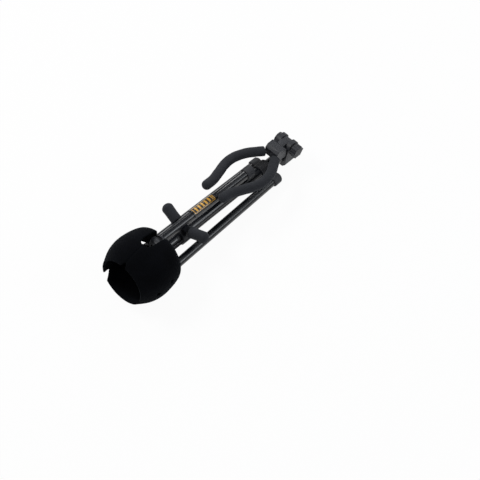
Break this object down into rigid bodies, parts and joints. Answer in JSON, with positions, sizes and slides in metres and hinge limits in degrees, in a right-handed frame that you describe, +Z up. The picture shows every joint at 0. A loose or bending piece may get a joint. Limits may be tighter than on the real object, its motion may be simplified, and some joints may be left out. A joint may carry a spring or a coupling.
{
  "type": "alto saxophone stand",
  "caption": "Folding in-bell saxophone stand: velvet bell cup, three hinged legs, two foam bell pegs and a foam-covered folding yoke.",
  "frame": {"origin": "under the middle of the folded stand, on the surface that it lies on", "axes": "+X along the stand from the bell cup to the head, +Z up, +Y to the left of the column"},
  "size_m": [0.3288, 0.094, 0.0939],
  "materials": {
    "foam": "closed-cell foam sleeve, matte",
    "rubber": "moulded rubber, matte",
    "velvet": "flocked velvet",
    "black_paint": "gloss black powder coat on steel tube",
    "plastic": "moulded plastic, satin",
    "steel": "zinc-plated steel",
    "amber": "plain printed label film"
  },
  "bodies": {
    "frame": {"column_tube": "black_paint", "hub": "plastic", "bell_cup": "velvet", "cup_screw_1": "steel", "cup_screw_2": "steel", "cup_screw_3": "steel", "front_leg_pin": "steel", "left_leg_pin": "steel", "right_leg_pin": "steel", "peg_bracket": "plastic", "peg_clamp_screw": "steel", "left_peg_rod": "steel", "left_peg_foam": "foam", "right_peg_rod": "steel", "right_peg_foam": "foam", "stay_bar": "steel", "stay_rivet": "steel", "ribbed_collar": "rubber", "head_bracket": "plastic", "yoke_bolt": "steel"},
    "front_leg": {"front_leg_tube": "black_paint", "front_leg_knuckle": "plastic", "front_leg_foot": "rubber", "label_band": "amber"},
    "left_leg": {"left_leg_tube": "black_paint", "left_leg_knuckle": "plastic", "left_leg_foot": "rubber"},
    "right_leg": {"right_leg_tube": "black_paint", "right_leg_knuckle": "plastic", "right_leg_foot": "rubber"},
    "yoke": {"left_arm_rod": "steel", "left_arm_foam": "foam", "right_arm_rod": "steel", "right_arm_foam": "foam", "yoke_block": "plastic"},
    "knob": {"knob_washer": "steel", "clamp_knob": "plastic"}
  },
  "joints": [
    {"name": "front_leg_fold", "type": "hinge", "parent": "frame", "child": "front_leg", "pos_m": [-0.09652, -0.00055, 0.07138], "axis": [-0.002, -0.9998, -0.0201], "range_deg": [0, 110]},
    {"name": "left_leg_fold", "type": "hinge", "parent": "frame", "child": "left_leg", "pos_m": [-0.10053, 0.02365, 0.03156], "axis": [0.0878, 0.4824, 0.8716], "range_deg": [0, 110]},
    {"name": "right_leg_fold", "type": "hinge", "parent": "frame", "child": "right_leg", "pos_m": [-0.10063, -0.02311, 0.03062], "axis": [-0.0857, 0.5174, -0.8514], "range_deg": [0, 110]},
    {"name": "yoke_fold", "type": "hinge", "parent": "frame", "child": "yoke", "pos_m": [0.15341, -0.00038, 0.03818], "axis": [0.002, 0.9998, 0.0201], "range_deg": [0, 110]},
    {"name": "knob_turn", "type": "hinge", "parent": "frame", "child": "knob", "pos_m": [0.15341, -0.00038, 0.03818], "axis": [0.002, 0.9998, 0.0201], "continuous": true}
  ]
}
